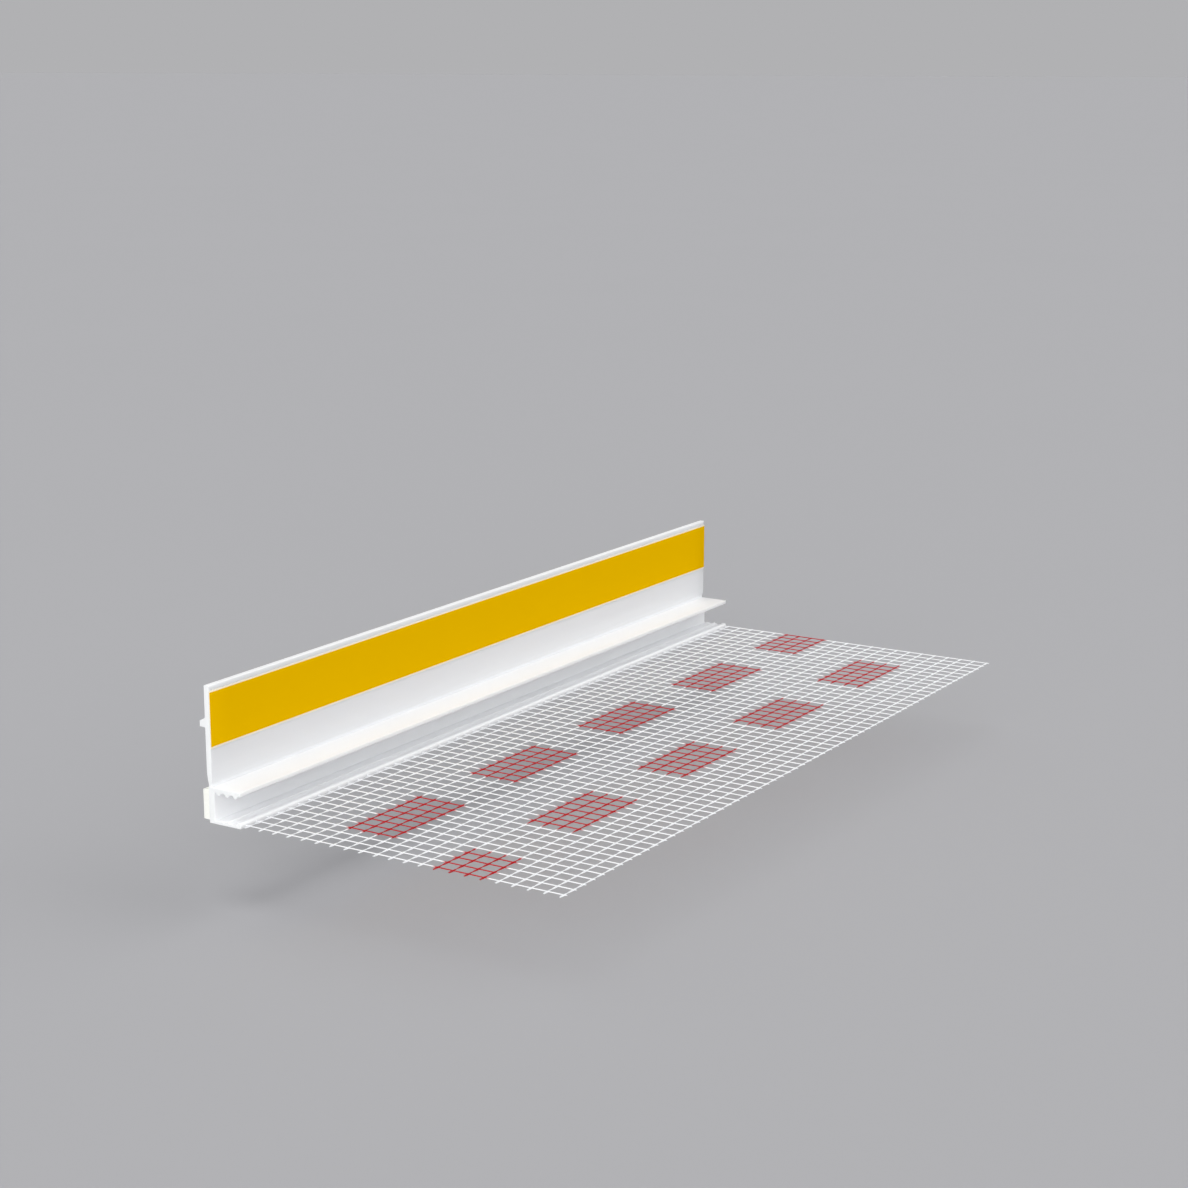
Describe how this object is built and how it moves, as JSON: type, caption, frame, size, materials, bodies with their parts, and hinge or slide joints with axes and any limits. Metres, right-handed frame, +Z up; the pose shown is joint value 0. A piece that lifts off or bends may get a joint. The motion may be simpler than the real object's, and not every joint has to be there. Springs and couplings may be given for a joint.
{
  "type": "pvc expansion joint profile",
  "caption": "Extruded white channel profile with a tear-off flange, yellow adhesive tape, a foam seal and a flat glass-fibre mesh strip, for joining plaster to a frame.",
  "frame": {"origin": "middle of the footprint of the whole piece, on the plane that it lies on", "axes": "+Y along the profile's length, +X from the profile out over the mesh, +Z up the tear-off flange"},
  "size_m": [0.115, 0.2684, 0.0383],
  "materials": {
    "pvc": "satin white extruded PVC",
    "foam": "cream-white closed-cell foam",
    "tape": "smooth yellow liner",
    "mesh": "white coated glass fibre"
  },
  "bodies": {
    "root": {"pvc_profile": "pvc", "foam_seal": "foam", "adhesive_tape": "tape", "mesh_strip_1": "mesh", "mesh_strip_2": "mesh", "mesh_strip_3": "mesh", "mesh_strip_4": "mesh"}
  },
  "joints": []
}
